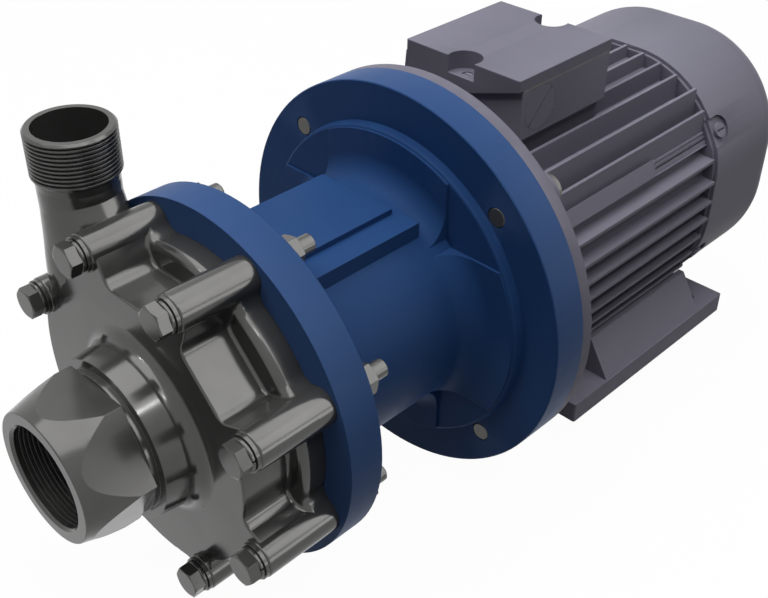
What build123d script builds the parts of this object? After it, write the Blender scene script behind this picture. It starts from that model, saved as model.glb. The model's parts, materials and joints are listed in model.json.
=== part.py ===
from build123d import *
from math import atan2, cos, degrees, hypot, radians, sin, sqrt
import os

# Magnetic drive centrifugal pump on a flanged foot motor, in millimetres.
# Every piece is drawn about the shaft: the shaft axis is Y, the motor's mounting face is y = 0,
# the suction port points to -Y and +Z is up. save() then moves it to the foot frame, whose origin
# is the middle of the four foot holes on the underside of the feet.

# Feet and shaft height
shaft_height = 100.0
foot_hole_spacing_x = 160.0
foot_hole_spacing_y = 140.0
foot_setback = 63.0
foot_hole_r = 6.0
foot_outer_x = 96.7
foot_inner_x = 60.0
foot_pad_thickness = 14.1
foot_corner = 1.5
foot_front_margin = 15.0
foot_rear_margin = 21.5
foot_web_front = 83.0
foot_web_rear = 194.0
foot_web_top = 40.0
foot_web_top_x = 79.5
foot_web_inset = 1.2
foot_web_width = 4.0
foot_seat_height = 26.0
foot_seat_margin = 5.5
foot_seat_top = -34.0
foot_seat_end = 3.0
foot_screw_x = 68.0
foot_screw_r = 4.0
foot_screw_head_r = 6.5
foot_screw_head_height = 8.0
foot_screw_length = 28.0
foot_screw_spacing = 70.0

# Clearances
slip_gap = 0.02
running_gap = 0.05
wear_gap = 0.15
thrust_gap = 0.2
bolt_hole_gap = 0.5
washer_gap = 0.25
cover_gap = 0.3

# Motor flange joint
motor_flange_r = 125.0
motor_flange_thickness = 8.8
motor_flange_lug = 4.7
motor_flange_lug_r = 15.0
flange_bolt_edge = 17.5
flange_bolt_r = 6.0
flange_bolt_head_r = 9.0
flange_bolt_socket = 10.0
flange_bolt_head = 7.5
flange_washer_r = 10.5
flange_washer_thickness = 2.5
flange_head_room = 1.5
flange_head_depth = 12.0
spigot_r = 90.0
spigot_height = 4.0
spigot_width = 8.0

# Lantern
lantern_length = 160.5
lantern_front_r = 106.4
lantern_front_thickness = 22.0
lantern_rear_thickness = 22.8
lantern_disc_height = 5.8
lantern_disc_base_r = 101.2
lantern_disc_top_r = 100.4
lantern_disc_round = 1.6
lantern_cross_height = 1.4
lantern_cross_x = 46.5
lantern_cross_z = 48.5
barrel_r = 70.0
barrel_bore_r = 64.0
barrel_fillet = 14.0
pad_top_z = 70.1
pad_left_x = -32.2
pad_step_x = 23.3
pad_right_x = 40.2
pad_step_drop = 3.4
pad_rear_gap = 18.0
pad_step_rear_gap = 14.0
bottom_pad_z = 77.0
bottom_pad_width = 30.0
bottom_pad_length = 24.0

# Casing bolts
casing_pcd = 187.0
casing_bolt_count = 8
casing_bolt_r = 5.0
casing_bolt_af = 16.0
casing_bolt_head = 6.4
casing_bolt_end = 10.6
casing_nut_height = 8.4
casing_washer_r = 10.0
casing_washer_thickness = 2.0
spring_washer_r = 9.05
spring_washer_thickness = 2.2
spring_washer_round = 0.7
spring_washer_split = 1.0
bolt_head_turns = (3.6, -10.6, 8.0, -5.0, 14.0, -8.0, 5.0, -13.0)

# Casing
casing_disc_r = 88.0
casing_disc_thickness = 15.0
casing_disc_round = 4.5
column_r = 10.5
column_stand = 2.0
column_blend = 8.0
casing_edge = 1.2
volute_depth = 29.0
web_half_width = 10.0
pocket_corner = 7.0
pocket_floor_round = 2.0
pocket_steps = (77.5, 72.5, 73.0, 84.0, 92.0, 91.5, 89.5, 84.0)
straight_pockets = (1, 2)
front_wall = 6.0
volute_width = 22.0
volute_start_r = 59.0
volute_end_r = 85.5
volute_start_angle = 170.0
volute_growth = 1.3
volute_throat_z = 36.0

# Suction port, female G 2
port_minor_r = 28.3
port_major_r = 29.8
port_thread_length = 24.0
port_mouth = 1.4
port_face_r = 36.3
port_face_round = 0.8
port_cone_length = 27.0
port_hex_af = 75.2
port_hex_length = 9.3
port_groove_r = 40.0
port_groove_length = 3.7
collar_front_r = 45.0
collar_rear_r = 46.7
collar_length = 12.5
collar_neck = 9.0
collar_blend = 7.5
throat_r = 26.0
eye_r = 22.5
pipe_thread_pitch = 2.309

# Discharge port, male G 1 1/2
discharge_x = -74.2
discharge_setback = 19.3
discharge_top = 133.7
discharge_major_r = 23.9
discharge_minor_r = 22.5
discharge_thread_length = 26.5
discharge_neck_r = 21.9
discharge_root_r = 21.4
discharge_bore_r = 19.6
diffuser_start = 28.0
diffuser_top = 104.0
discharge_root_z = 16.0

# Sections of the nozzle's root: height, reach to the front, right, rear and left of the port's axis
nozzle_root = (
    (20.0, 22.6, 31.0, 20.0, 19.0),
    (32.0, 24.6, 32.0, 20.6, 20.0),
    (46.0, 25.0, 32.5, 20.9, 20.4),
    (60.0, 24.4, 33.0, 21.0, 20.9),
    (74.0, 23.0, 32.5, 21.1, 21.0),
    (86.0, 22.2, 29.5, 21.1, 21.1),
    (95.0, 21.3, 23.6, 21.1, 21.1),
    (102.0, 20.9, 20.9, 20.9, 20.9),
)

# Impeller
impeller_r = 56.0
impeller_front_gap = 2.5
impeller_back_gap = 1.5
impeller_shroud = 3.0
impeller_neck_r = 26.0
impeller_hub_r = 22.0
impeller_neck_length = 8.5
blade_count = 6
blade_thickness = 2.5
blade_arc_r = 34.0
blade_arc_x = 30.0
wear_ring_r = 30.0
wear_ring_length = 7.0

# Pump shaft and its plain bearings
pump_shaft_r = 10.0
impeller_thread_r = 6.0
rotor_thread_r = 8.0
impeller_nut_r = 11.0
impeller_nut_length = 14.0
rotor_nut_af = 24.0
rotor_nut_height = 6.0
shaft_end_stand = 1.0
sleeve_r = 15.0
bush_r = 21.0
bush_length = 18.0
thrust_ring_thickness = 3.0
thrust_ring_stand = 1.0
thrust_disc_r = 20.0
thrust_disc_recess = 1.8
thrust_disc_thickness = 3.8
bearing_span = 47.0
spacer_r = 14.0
key_width = 5.0
key_height = 5.0
key_length = 12.0

# Bearing carrier
carrier_r = 66.5
carrier_nose_r = 62.0
carrier_nose_length = 2.5
carrier_sleeve_r = 27.0
carrier_rib_r = 17.5

# Containment can and casing O-ring
can_flange_r = 80.0
can_flange_thickness = 8.0
can_r = 49.3
can_wall = 1.8
can_floor = 3.0
can_length = 78.5
o_ring_r = 73.5
o_ring_section_r = 1.4
o_ring_groove_width = 4.0

# Magnet rotors
magnet_count = 12
magnet_length = 59.0
magnet_end_wall = 3.0
inner_magnet_r = 45.9
inner_magnet_seat_r = 38.9
sheath_thickness = 0.6
inner_rotor_bore_r = 30.0
inner_rotor_hub = 8.0
outer_magnet_r = 50.5
outer_magnet_seat_r = 57.5
outer_rotor_r = 62.5
outer_web = 12.0
outer_hub_r = 24.0
outer_hub_end_gap = 6.0
hub_screw_r = 4.0
hub_screw_head_r = 7.0
hub_screw_head = 4.5
hub_screw_length = 30.0
hub_washer_r = 12.0
hub_washer_thickness = 2.0

# Motor shaft
shaft_extension_r = 14.0
shaft_extension = 60.0
bearing_seat_r = 15.0
rotor_seat_r = 19.0
fan_seat_r = 12.0
shaft_rear_end = 250.0
shaft_key_width = 8.0
shaft_key_height = 7.0
shaft_key_depth = 4.0
shaft_key_length = 46.0

# Ball bearings
ring_outer_r = 31.0
ring_width = 16.0
ring_land = 4.0
ball_pitch_r = 23.0
ball_r = 4.75
ball_count = 9
front_bearing_y = 8.0
rear_bearing_y = 178.0
spring_height = 2.0
seal_r = 20.0
seal_length = 5.4
seal_lip = 0.3

# Motor housing
housing_front = 14.0
housing_rear = 195.0
housing_r = 81.0
housing_bore_r = 77.0
fin_root = 3.4
fin_tip = 2.2
top_fins = ((7.0, 88.8), (20.8, 87.5), (34.5, 84.7), (47.6, 80.3), (62.8, 75.3), (71.2, 62.4))
bottom_fins = ((7.0, 88.8), (20.8, 87.5), (34.5, 84.7), (47.6, 80.3))
side_fins = (
    (30.4, 85.7),
    (15.0, 88.8),
    (0.5, 89.4),
    (-13.0, 89.0),
    (-28.0, 86.4),
    (-43.0, 82.2),
    (-56.0, 77.3),
)
boss_upper = (75.0, 51.4)
boss_lower = (79.1, 40.8)
boss_slot = (73.9, 47.6)
boss_step = 2.5
boss_step_y = 134.0
tie_bolt_r = 3.0
tie_bolt_ring_r = 84.3
tie_bolt_upper_angle = 31.0
tie_bolt_lower_angle = -43.6
tie_rib_r = 6.5
tie_head_r = 5.0
tie_head_height = 6.0
tie_head_depth = 6.5
tie_boss_height = 5.0
tie_boss_r = 5.5
tie_bolt_stand = 1.5
register_length = 6.0
register_width = 7.0
bearing_hub_r = 40.0
bearing_floor = 3.0

# Stator and rotor
stator_inner_r = 47.5
rotor_r = 47.0
core_front = 47.0
core_rear = 143.0
slot_count = 24
slot_width = 6.0
slot_depth = 14.0
coil_inner_r = 51.0
coil_outer_r = 71.0
coil_height = 19.0
end_ring_inner_r = 30.0
end_ring_height = 8.0
rotor_vane_count = 8

# Rear shield, fan and fan cover
shield_plate = 4.0
cover_half_width = 88.5
cover_corner_r = 73.5
cover_front = 197.5
cover_rear = 286.7
cover_wall = 2.0
cover_round = 27.0
notch_width = 20.0
notch_length = 16.5
notch_floor_r = 92.0
cover_screw_r = 2.5
cover_screw_head_r = 5.0
cover_screw_head = 2.6
cover_screw_length = 14.0
grille_rings = 6
grille_slot = 4.6
grille_pitch = 7.6
grille_centre_r = 14.0
grille_rib = 7.0
fan_front = 212.0
fan_r = 74.0
fan_hub_r = 20.0
fan_disc = 3.0
fan_blade_height = 27.0
fan_blade_thickness = 2.5
fan_blade_count = 8
circlip_r = 15.0
circlip_thickness = 1.5
circlip_depth = 1.0

# Terminal box
box_half_x = 43.2
box_front = 32.3
box_rear = 120.1
box_front_inset = 3.4
box_rear_inset = 0.9
box_corner = 1.0
box_floor_z = 87.7
box_wall = 3.5
gasket_thickness = 1.2
lid_underside_z = 119.0
lid_thickness = 6.9
lid_edge = 0.5
lid_wall = 2.6
apron_drop = 12.0
apron_half_width = 7.0
apron_flare = 1.2
recess_r = 10.5
recess_reach = 3.4
recess_floor_z = 115.0
recess_wall = 2.0
lid_screw_inset = 6.2
lid_screw_r = 2.0
lid_screw_head_r = 3.0
lid_screw_head = 2.4
lid_screw_slot = 1.0
lid_screw_depth = 3.0
lid_screw_length = 18.0
plug_y = 53.0
plug_z = 104.0
plug_r = 13.5
plug_head = 2.5
plug_thread_r = 11.0
plug_length = 9.0
plug_slot_width = 1.2
plug_slot_depth = 1.2
plug_slot_angle = 45.0
pedestal_half_x = 38.0
box_screw_r = 2.0
box_screw_head_r = 3.6
box_screw_head = 2.4
box_screw_length = 12.0
box_screw_spacing_x = 52.0
box_screw_spacing_y = 60.0
wire_hole_r = 12.0
board_half_x = 22.0
board_half_y = 28.5
board_thickness = 8.0
board_stand = 1.5
stud_r = 2.0
stud_height = 12.0
stud_spacing_x = 22.0
stud_spacing_y = 18.0

# Places that the sizes above lead to
flange_pcd = 2 * (motor_flange_r - flange_bolt_edge)
lantern_front = -lantern_length
casing_disc_front = lantern_front - casing_disc_thickness
plate_front = casing_disc_front - volute_depth
column_front = plate_front - column_stand
spring_seat = column_front - casing_washer_thickness
head_seat = spring_seat - spring_washer_thickness
nut_seat = lantern_front + lantern_front_thickness
can_face = lantern_front - can_flange_thickness
cavity_front = plate_front + front_wall
cavity_rear = cavity_front + volute_width
carrier_step = cavity_rear + carrier_nose_length
impeller_front = cavity_front + impeller_front_gap
impeller_rear = cavity_rear - impeller_back_gap
collar_rear = plate_front - collar_neck
collar_front = collar_rear - collar_length
groove_front = collar_front - port_groove_length
hex_front = groove_front - port_hex_length
port_face = hex_front - port_cone_length
front_disc_face = cavity_rear - thrust_ring_stand - thrust_gap
front_bush_start = cavity_rear - thrust_ring_stand + thrust_ring_thickness
rear_bush_start = front_bush_start + bearing_span
rear_ring_face = rear_bush_start + bush_length + thrust_ring_thickness
carrier_end = rear_ring_face - thrust_ring_stand
rear_disc_face = rear_ring_face + thrust_gap
hub_face = rear_disc_face + thrust_disc_thickness
rotor_nut_seat = hub_face + inner_rotor_hub
magnet_rear = rotor_nut_seat - magnet_end_wall
magnet_front = magnet_rear - magnet_length
can_end = can_face + can_flange_thickness + can_length
outer_web_front = -shaft_extension - outer_web
box_top_z = lid_underside_z - gasket_thickness
pedestal_z = box_floor_z - gasket_thickness
box_wall_front = box_front + box_front_inset
box_wall_rear = box_rear - box_rear_inset
box_middle = (box_wall_front + box_wall_rear) / 2
lid_middle = (box_front + box_rear) / 2
lid_screw_seat = recess_floor_z - lid_screw_depth
discharge_y = lantern_front - discharge_setback
tie_bolt_places = (
    tie_bolt_upper_angle,
    180 - tie_bolt_upper_angle,
    tie_bolt_lower_angle,
    180 - tie_bolt_lower_angle,
)
notch_places = (
    tie_bolt_upper_angle,
    180 - tie_bolt_upper_angle,
    -tie_bolt_upper_angle,
    180 + tie_bolt_upper_angle,
)
foot_front_hole = foot_setback
foot_rear_hole = foot_setback + foot_hole_spacing_y
to_feet = Pos(0, -foot_setback - foot_hole_spacing_y / 2, shaft_height)


def outline(*points):
    """A flat face with straight sides through the points"""
    return make_face(Polyline(*points, close=True))


def along_y(sketch, start, end):
    """A sketch in X and Z pushed along the shaft from start to end"""
    return Pos(0, end, 0) * extrude(Plane.XZ * sketch, end - start)


def along_x(sketch, start, end):
    """A sketch in Y and Z pushed along X from start to end"""
    return Pos(start, 0, 0) * extrude(Plane.YZ * sketch, end - start)


def along_z(sketch, start, end):
    """A sketch in X and Y pushed upwards from start to end"""
    return Pos(0, 0, start) * extrude(sketch, end - start)


def turned(*points):
    """A solid turned about the shaft axis from (y, radius) points"""
    return revolve(outline(*[(radius, y) for y, radius in points]), Axis.Y)


def tube(outer, inner, start, end):
    """A plain ring about the shaft"""
    return along_y(Circle(outer) - Circle(inner), start, end)


def at_angle(solid, angle):
    """The solid turned about the shaft, from +X towards +Z"""
    return Rot(0, -angle, 0) * solid


def around(solid, count, first=0.0):
    """Copies spaced evenly about the shaft"""
    return [at_angle(solid, first + 360 / count * i) for i in range(count)]


def circle_edges(solid, y, radius):
    """The circular edges at one place along the shaft with one radius"""
    edges = [e for e in solid.edges() if e.geom_type == GeomType.CIRCLE]
    return [e for e in edges if abs(e.arc_center.Y - y) < 0.01 and abs(e.radius - radius) < 0.01]


def edges_at(solid, y):
    """Every edge that lies in the plane at y"""
    return solid.edges().filter_by_position(Axis.Y, y - 0.01, y + 0.01)


def hexagon_bar(across_flats, start, end):
    """A hexagonal bar about the shaft axis"""
    return along_y(RegularPolygon(across_flats / 2, 6, major_radius=False), start, end)


def hexagon_head(across_flats, start, end, top):
    """A hexagon with its corners turned off at the end named top"""
    corner_r = across_flats / sqrt(3)
    base = end if top == start else start
    step = (corner_r - across_flats / 2) / 2 * (1 if top > base else -1)
    top_r = across_flats / 2 * 0.95
    cone = turned((base, 0), (base, corner_r + 1), (top - step, corner_r), (top, top_r), (top, 0))
    return hexagon_bar(across_flats, start, end) & cone


def thread_rings(crest_r, root_r, pitch, count):
    """Ring grooves about the Y axis, one pitch apart from y = 0 on, that cut a thread's form"""
    beyond = 0.1 if root_r < crest_r else -0.1
    ring = turned(
        (-pitch * 0.36, crest_r + beyond),
        (-pitch * 0.08, root_r),
        (pitch * 0.08, root_r),
        (pitch * 0.36, crest_r + beyond),
    )
    return [Pos(0, pitch * i, 0) * ring for i in range(count)]


def save(name, shape):
    """Write one node's solids in the foot frame"""
    solids = [to_feet * solid for solid in (shape if isinstance(shape, list) else [shape])]
    export_step(solids[0] if len(solids) == 1 else Compound(solids), f"parts/{name}.step")


def column_places():
    """The angle of each casing bolt"""
    step = 360 / casing_bolt_count
    return [step / 2 + step * i for i in range(casing_bolt_count)]


def pocket(index):
    """The plan of the pocket between two columns, cut down to the volute wall"""
    half = 180 / casing_bolt_count
    depth = pocket_steps[index]
    straight = index in straight_pockets
    inner = depth if straight else depth - 20
    outer = casing_pcd / 2 + 20
    points = []
    for reach in (inner, outer):
        along = (reach - web_half_width * sin(radians(half))) / cos(radians(half))
        points.append((reach, along * sin(radians(half)) - web_half_width * cos(radians(half))))
    plan = outline(
        (points[0][0], -points[0][1]),
        (points[1][0], -points[1][1]),
        (points[1][0], points[1][1]),
        (points[0][0], points[0][1]),
    )
    if not straight:
        plan = plan - Circle(depth)
    corners = [v for v in plan.vertices() if hypot(v.X, v.Y) < outer - 5]
    return Rot(0, 0, 2 * half * index) * fillet(corners, pocket_corner)


def casing_volute():
    """The volute block with its pockets and rounded front edge"""
    plan = Circle(casing_pcd / 2) - [pocket(i) for i in range(casing_bolt_count)]
    block = along_y(plan, plate_front, casing_disc_front + casing_disc_thickness / 2)
    return fillet(edges_at(block, plate_front), casing_edge)


def casing_disc():
    """The casing's rear flange, scalloped round its bolt columns"""
    columns = [Rot(0, 0, a) * Pos(casing_pcd / 2, 0) * Circle(column_r) for a in column_places()]
    plan = Circle(casing_disc_r) + columns
    corners = [v for v in plan.vertices() if abs(hypot(v.X, v.Y) - casing_disc_r) < 0.01]
    plan = fillet(corners, column_blend)
    disc = along_y(plan, casing_disc_front, lantern_front)
    return fillet(edges_at(disc, casing_disc_front), casing_disc_round)


def casing_columns():
    """Eight bolt columns with rounded front edges"""
    column = along_y(Circle(column_r), column_front, lantern_front)
    column = fillet(circle_edges(column, column_front, column_r), casing_edge)
    return [at_angle(Pos(casing_pcd / 2, 0, 0) * column, a) for a in column_places()]


def suction_port():
    """The turned and hexagonal outside of the suction port"""
    hub = turned(
        (groove_front, 0),
        (groove_front, port_groove_r),
        (collar_front, port_groove_r),
        (collar_front, collar_front_r),
        (collar_rear, collar_rear_r),
        (cavity_front, collar_rear_r),
        (cavity_front, 0),
    )
    hex_corner_r = port_hex_af / sqrt(3)
    cone = turned(
        (port_face, 0),
        (port_face, port_face_r),
        (hex_front, hex_corner_r),
        (groove_front, hex_corner_r),
        (groove_front, 0),
    )
    cone = fillet(circle_edges(cone, port_face, port_face_r), port_face_round)
    return hub + (hexagon_bar(port_hex_af, port_face, groove_front) & cone)


def nozzle_section(height, front, right, rear, left):
    """One level section of the nozzle's root, by its reach from the port's axis"""
    points = []
    for i in range(16):
        across, along = cos(radians(22.5 * i)), sin(radians(22.5 * i))
        reach_x = right if across > 0 else left
        reach_y = rear if along > 0 else front
        points.append((discharge_x + reach_x * across, discharge_y + reach_y * along))
    return Pos(0, 0, height) * make_face(Spline(*points, periodic=True))


def discharge_port():
    """The outside of the discharge port, drawn upright on its own axis"""
    thread_start = discharge_top - discharge_thread_length
    profile = outline(
        (0, discharge_root_z - 8),
        (discharge_root_r - 7, discharge_root_z - 8),
        (discharge_root_r, discharge_root_z + 14),
        (discharge_neck_r, thread_start - 4),
        (discharge_minor_r, thread_start),
        (discharge_major_r, thread_start + 1.6),
        (discharge_major_r, discharge_top - 1.2),
        (discharge_major_r - 1.2, discharge_top),
        (0, discharge_top),
    )
    port = revolve(Plane.XZ * profile, Axis.Z)
    crests = int(discharge_thread_length / pipe_thread_pitch)
    rings = thread_rings(discharge_major_r, discharge_minor_r, pipe_thread_pitch, crests - 1)
    first = thread_start + 1.5 * pipe_thread_pitch
    return port - [Pos(0, 0, first) * Rot(90, 0, 0) * ring for ring in rings]


def volute_cavity():
    """The growing channel round the impeller, open to the discharge"""
    points = []
    for i in range(13):
        share = i / 12
        radius = volute_start_r + (volute_end_r - volute_start_r) * share**volute_growth
        angle = radians(volute_start_angle - (volute_start_angle + 180) * share)
        points.append((radius * cos(angle), radius * sin(angle)))
    spiral = Spline(*points)
    rest = Polyline(points[-1], (points[-1][0], volute_throat_z), (-volute_start_r + 1, volute_throat_z), points[0])
    return along_y(make_face([spiral, rest]), cavity_front, cavity_rear)


def discharge_passage():
    """The diffuser and the straight bore of the discharge"""
    middle_x = -(volute_end_r + volute_start_r) / 2
    low = Pos(middle_x, (cavity_front + cavity_rear) / 2, diffuser_start) * Ellipse(
        (volute_end_r - volute_start_r) / 2, volute_width / 2
    )
    high = Pos(discharge_x, discharge_y, diffuser_top) * Circle(discharge_bore_r)
    bore = Pos(discharge_x, discharge_y, 0) * along_z(Circle(discharge_bore_r), diffuser_top, discharge_top)
    return loft([low, high]) + bore


def suction_passage():
    """The tapped port, the throat and the seat of the wear ring"""
    thread_end = port_face + port_thread_length
    ring_start = cavity_front - wear_ring_length
    passage = turned(
        (port_face, 0),
        (port_face, port_minor_r + port_mouth),
        (port_face + port_mouth, port_minor_r),
        (thread_end, port_minor_r),
        (thread_end + 3, throat_r),
        (ring_start - 8, throat_r),
        (ring_start - 2, eye_r),
        (ring_start, eye_r),
        (ring_start, wear_ring_r),
        (cavity_front, wear_ring_r),
        (cavity_front, 0),
    )
    count = int((port_thread_length - 6) / pipe_thread_pitch)
    rings = thread_rings(port_minor_r, port_major_r, pipe_thread_pitch, count)
    first = port_face + port_mouth + pipe_thread_pitch
    return [passage] + [Pos(0, first, 0) * ring for ring in rings]


def pump_casing():
    """The cast casing with its ports, cavity and seats"""
    port = Pos(discharge_x, discharge_y, 0) * discharge_port()
    casing = casing_volute() + suction_port()
    casing = fillet(circle_edges(casing, plate_front, collar_rear_r), collar_blend)
    casing = casing + casing_disc() + casing_columns()
    casing = fillet(edges_at(casing, casing_disc_front), pocket_floor_round)
    casing += port + loft([nozzle_section(*section) for section in nozzle_root])
    casing -= along_y(Circle(lantern_front_r + 1), lantern_front, lantern_front + 8)
    casing -= volute_cavity()
    casing -= discharge_passage()
    casing -= suction_passage()
    casing -= along_y(Circle(carrier_nose_r), cavity_rear, carrier_step)
    casing -= along_y(Circle(carrier_r), carrier_step, can_face)
    casing -= along_y(Circle(can_flange_r), can_face, lantern_front)
    groove_half = o_ring_groove_width / 2
    casing -= tube(o_ring_r + groove_half, o_ring_r - groove_half, can_face - 2 * o_ring_section_r, can_face)
    hole = along_y(Pos(casing_pcd / 2, 0) * Circle(casing_bolt_r + bolt_hole_gap), column_front, lantern_front)
    return casing - [at_angle(hole, a) for a in column_places()]


def casing_fasteners():
    """Bolts, washers, spring washers and nuts of the casing joint"""
    bolts, washers, springs, nuts = [], [], [], []
    head_top = head_seat - casing_bolt_head
    bolt_end = nut_seat + casing_nut_height + casing_bolt_end
    hole_r = casing_bolt_r + slip_gap
    washer_bore_r = casing_bolt_r + washer_gap
    spring = along_y(Circle(spring_washer_r), head_seat, spring_seat)
    spring = fillet(spring.edges().filter_by(GeomType.CIRCLE), spring_washer_round)
    spring -= along_y(Circle(washer_bore_r), head_seat, spring_seat)
    split = Pos(casing_bolt_r + spring_washer_r / 2, 0) * Rectangle(spring_washer_r, spring_washer_split)
    spring -= along_y(split, head_seat, spring_seat)
    for angle, turn in zip(column_places(), bolt_head_turns):
        place = Pos(casing_pcd / 2, 0, 0)
        head = hexagon_head(casing_bolt_af, head_top, head_seat, head_top)
        shank = along_y(Circle(casing_bolt_r), head_seat, bolt_end)
        shank = chamfer(circle_edges(shank, bolt_end, casing_bolt_r), 0.8)
        bolts.append(at_angle(place * Rot(0, angle - turn, 0) * (head + shank), angle))
        washer = tube(casing_washer_r, washer_bore_r, spring_seat, column_front)
        washers.append(at_angle(place * washer, angle))
        springs.append(at_angle(place * Rot(0, 3 * turn, 0) * spring, angle))
        nut = hexagon_head(casing_bolt_af, nut_seat, nut_seat + casing_nut_height, nut_seat + casing_nut_height)
        nut -= along_y(Circle(hole_r), nut_seat, nut_seat + casing_nut_height)
        nuts.append(at_angle(place * Rot(0, turn / 2, 0) * nut, angle))
    return bolts, washers, springs, nuts


def lantern():
    """The closed barrel between the casing and the motor"""
    disc_face = -lantern_rear_thickness - lantern_disc_height
    cross_face = disc_face - lantern_cross_height
    body = turned(
        (lantern_front, barrel_bore_r),
        (lantern_front, lantern_front_r),
        (nut_seat - 1, lantern_front_r),
        (nut_seat, lantern_front_r - 1),
        (nut_seat, barrel_r),
        (disc_face, barrel_r),
        (disc_face, lantern_disc_top_r - lantern_disc_round),
        (disc_face + lantern_disc_round * 0.3, lantern_disc_top_r - lantern_disc_round * 0.3),
        (disc_face + lantern_disc_round, lantern_disc_top_r),
        (-lantern_rear_thickness, lantern_disc_base_r),
        (-lantern_rear_thickness, motor_flange_r - 0.5),
        (-lantern_rear_thickness + 0.8, motor_flange_r),
        (0, motor_flange_r),
        (0, spigot_r),
        (-spigot_height - 1, spigot_r),
        (-spigot_height - 1, barrel_bore_r),
    )
    bars = Rectangle(2 * lantern_cross_x, 3 * barrel_r) + Rectangle(3 * barrel_r, 2 * lantern_cross_z)
    cross = along_y(bars & Circle(lantern_disc_top_r - lantern_disc_round), cross_face, disc_face)
    body += cross - along_y(Circle(barrel_r - 3), cross_face, disc_face)
    body = fillet(circle_edges(body, cross_face, barrel_r), barrel_fillet)
    pad = along_z(
        outline(
            (pad_left_x, nut_seat),
            (pad_step_x, nut_seat),
            (pad_step_x, cross_face - pad_rear_gap),
            (pad_left_x, cross_face - pad_rear_gap),
        ),
        barrel_bore_r * 0.8,
        pad_top_z,
    )
    step = along_z(
        outline(
            (pad_step_x, nut_seat),
            (pad_right_x, nut_seat),
            (pad_right_x, cross_face - pad_step_rear_gap),
            (pad_step_x, cross_face - pad_step_rear_gap),
        ),
        barrel_bore_r * 0.8,
        pad_top_z - pad_step_drop,
    )
    low = Pos(0, nut_seat + bottom_pad_length / 2, 0) * along_z(
        Rectangle(bottom_pad_width, bottom_pad_length), -bottom_pad_z, -barrel_bore_r
    )
    body += pad + step + low
    body -= along_y(Circle(barrel_bore_r), lantern_front, -spigot_height - 1)
    hole = along_y(Pos(casing_pcd / 2, 0) * Circle(casing_bolt_r + bolt_hole_gap), lantern_front, nut_seat)
    body -= [at_angle(hole, a) for a in column_places()]
    tapped = along_y(Pos(flange_pcd / 2, 0) * Circle(flange_bolt_r), -lantern_rear_thickness, 0)
    return body - around(tapped, 4, 45)


def flange_fasteners():
    """Bolts and washers that hold the lantern on the motor"""
    seat = motor_flange_thickness + motor_flange_lug
    head_seat_y = seat + flange_washer_thickness
    head_end = head_seat_y + flange_bolt_head
    head = along_y(Circle(flange_bolt_head_r), head_seat_y, head_end)
    head = chamfer(circle_edges(head, head_end, flange_bolt_head_r), 0.8)
    head -= hexagon_bar(flange_bolt_socket, head_end - flange_bolt_head / 2, head_end)
    shank = along_y(Circle(flange_bolt_r), -lantern_rear_thickness, head_seat_y)
    shank = chamfer(circle_edges(shank, -lantern_rear_thickness, flange_bolt_r), 0.8)
    washer = tube(flange_washer_r, flange_bolt_r + washer_gap, seat, head_seat_y)
    place = Pos(flange_pcd / 2, 0, 0)
    return around(place * (head + shank), 4, 45), around(place * washer, 4, 45)


def containment_can():
    """The thin closed can between the magnets"""
    bore_r = can_r - can_wall
    can = turned(
        (can_face, bore_r),
        (can_face, can_flange_r - slip_gap),
        (lantern_front, can_flange_r - slip_gap),
        (lantern_front, can_r),
        (can_end - 4, can_r),
        (can_end, can_r - 4),
        (can_end, 0),
        (can_end - can_floor, 0),
        (can_end - can_floor, bore_r - 4),
        (can_end - can_floor - 4, bore_r),
    )
    return can


def bearing_carrier():
    """The volute's back plate with the sleeve that holds the plain bearings"""
    return turned(
        (cavity_rear, bush_r),
        (cavity_rear, carrier_nose_r - slip_gap),
        (carrier_step, carrier_nose_r - slip_gap),
        (carrier_step, carrier_r - slip_gap),
        (can_face, carrier_r - slip_gap),
        (can_face, carrier_sleeve_r + 4),
        (can_face + 4, carrier_sleeve_r),
        (carrier_end, carrier_sleeve_r),
        (carrier_end, bush_r),
        (rear_bush_start, bush_r),
        (rear_bush_start, carrier_rib_r),
        (front_bush_start + bush_length, carrier_rib_r),
        (front_bush_start + bush_length, bush_r),
    )


def plain_bearings():
    """The fixed bushes and thrust rings"""
    starts = (front_bush_start, rear_bush_start)
    bushes = [tube(bush_r, sleeve_r + running_gap, y, y + bush_length) for y in starts]
    ring_starts = (front_bush_start - thrust_ring_thickness, rear_bush_start + bush_length)
    inner = sleeve_r + 0.6
    rings = [tube(bush_r, inner, y, y + thrust_ring_thickness) for y in ring_starts]
    return bushes, rings


def pump_shaft():
    """The wet shaft with its threads and keyways"""
    shaft = turned(
        (impeller_front - impeller_nut_length + 2, 0),
        (impeller_front - impeller_nut_length + 2, impeller_thread_r),
        (impeller_front, impeller_thread_r),
        (impeller_front, pump_shaft_r),
        (rotor_nut_seat, pump_shaft_r),
        (rotor_nut_seat, rotor_thread_r),
        (rotor_nut_seat + rotor_nut_height + shaft_end_stand, rotor_thread_r),
        (rotor_nut_seat + rotor_nut_height + shaft_end_stand, 0),
    )
    return shaft - pump_keys()


def pump_keys():
    """The keys under the impeller and the magnet rotor"""
    size = Pos(0, pump_shaft_r) * Rectangle(key_width, key_height)
    impeller_key_y = impeller_front + 1.5
    rotor_key_y = hub_face
    impeller_key = along_y(size, impeller_key_y, impeller_key_y + key_length)
    rotor_key = along_y(size, rotor_key_y, rotor_key_y + inner_rotor_hub)
    return [impeller_key, rotor_key]


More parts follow.
